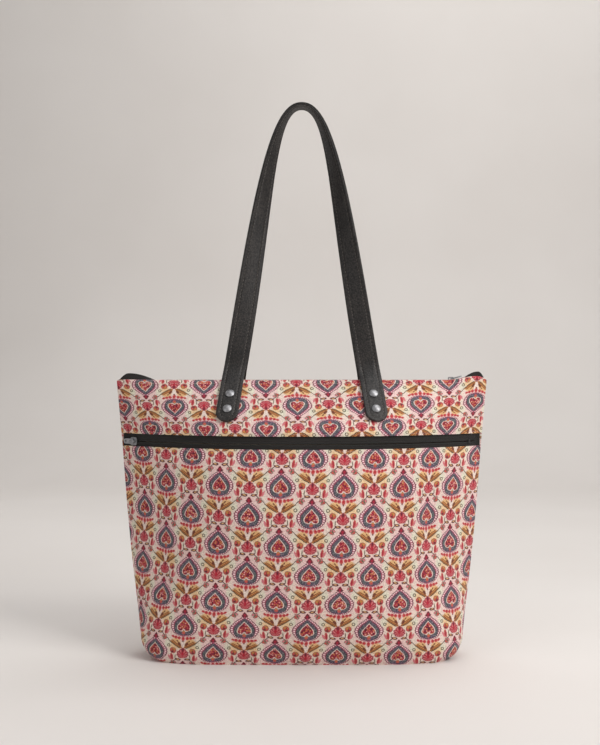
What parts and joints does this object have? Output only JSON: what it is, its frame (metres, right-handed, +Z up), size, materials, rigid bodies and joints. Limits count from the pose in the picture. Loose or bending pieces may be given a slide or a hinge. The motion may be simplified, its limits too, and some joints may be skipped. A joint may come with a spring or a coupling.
{
  "type": "tote bag",
  "caption": "Zip-top tote bag in patterned cloth with a zipped front pocket, a flat base, a plain lining and riveted leather shoulder handles.",
  "frame": {"origin": "on the floor under the middle of the flat base", "axes": "+Z up, -Y out of the face with the zipped pocket, +X to the right seen from that face"},
  "size_m": [0.432, 0.1714, 0.645],
  "materials": {
    "printed_cloth": "block-printed cotton, matt",
    "lining_cloth": "plain cotton, matt",
    "zip_tape": "woven black tape",
    "zip_coil": "black nylon coil",
    "strap_leather": "grained black leather, stitched",
    "nickel": "nickel plate"
  },
  "bodies": {
    "bag": {"front_panel": "printed_cloth", "front_band": "printed_cloth", "back_panel": "printed_cloth", "base_panel": "printed_cloth", "lining": "lining_cloth", "pocket_back": "lining_cloth", "pocket_zip_upper_tape": "zip_tape", "pocket_zip_lower_tape": "zip_tape", "pocket_zip_coils": "zip_coil", "pocket_zip_stops": "nickel", "top_zip_front_tape": "zip_tape", "top_zip_back_tape": "zip_tape", "top_zip_coils": "zip_coil", "top_zip_stops": "nickel", "front_handle": "strap_leather", "back_handle": "strap_leather", "front_rivets": "nickel", "back_rivets": "nickel", "front_rivet_caps": "nickel", "back_rivet_caps": "nickel"},
    "top_slider": {"top_zip_slider": "nickel"},
    "top_pull": {"top_zip_pull": "nickel"},
    "pocket_slider": {"pocket_zip_slider": "nickel"},
    "pocket_pull": {"pocket_zip_pull": "nickel"}
  },
  "joints": [
    {"name": "top_zip_run", "type": "slide", "parent": "bag", "child": "top_slider", "axis": [-1, 0, 0], "range_m": [0, 0.332]},
    {"name": "top_pull_swing", "type": "hinge", "parent": "top_slider", "child": "top_pull", "pos_m": [0.174, 0, 0.321], "axis": [0, -1, 0], "range_deg": [0, 150]},
    {"name": "pocket_zip_run", "type": "hinge", "parent": "bag", "child": "pocket_slider", "pos_m": [0, 0.2655, 0.249], "axis": [0, 0, 1], "range_deg": [0, 69.13]},
    {"name": "pocket_pull_swing", "type": "hinge", "parent": "pocket_slider", "child": "pocket_pull", "pos_m": [-0.19556, -0.01079, 0.249], "axis": [0, 0, 1], "range_deg": [0, 160]}
  ]
}
